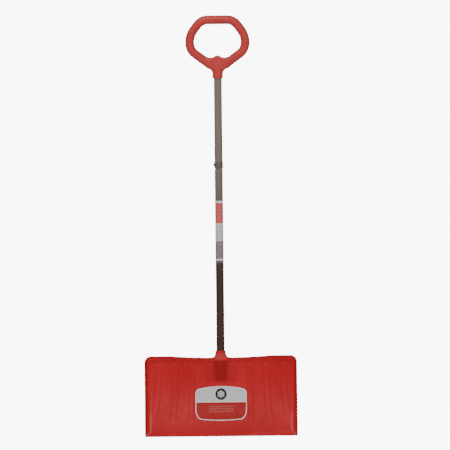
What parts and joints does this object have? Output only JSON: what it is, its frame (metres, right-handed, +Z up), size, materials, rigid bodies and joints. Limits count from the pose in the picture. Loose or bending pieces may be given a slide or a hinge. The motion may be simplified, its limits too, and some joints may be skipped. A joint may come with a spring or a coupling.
{
  "type": "snow shovel",
  "caption": "Long-handled snow shovel: wide curved scoop with pressed ribs and side lips, straight tube handle in two locking sections, closed ring hand grip.",
  "frame": {"origin": "middle of the scoop's bottom edge, on the ground plane when the handle is upright", "axes": "+Z up along the handle, +X across the scoop, the scoop opens towards -Y, so the handle stands behind the edge at +Y"},
  "size_m": [0.535, 0.1445, 1.4713],
  "materials": {
    "scoop_plastic": "moulded red polyethylene, satin",
    "grip_plastic": "moulded red polypropylene, fine grain",
    "tube_paint": "grey-brown powder coat on steel",
    "collar_plastic": "moulded grey-brown nylon",
    "label_film": "printed film",
    "fastener_steel": "zinc plated",
    "button_steel": "dark oxide",
    "spring_steel": "bright spring strip"
  },
  "bodies": {
    "shovel": {"blade": "scoop_plastic", "blade_label": "label_film", "socket_screw": "fastener_steel", "lower_tube": "tube_paint", "upper_tube": "tube_paint", "joint_collar": "collar_plastic", "tube_label": "label_film", "button_spring": "spring_steel", "grip_front": "grip_plastic", "grip_back": "grip_plastic", "grip_screws": "fastener_steel", "neck_screw": "fastener_steel"},
    "button": {"snap_button": "button_steel"}
  },
  "joints": [
    {"name": "button_press", "type": "slide", "parent": "shovel", "child": "button", "axis": [1, 0, 0], "range_m": [0, 0.0054], "stiffness_N_per_m": 800, "springref_m": -0.002, "deforming": ["button_spring"]}
  ]
}
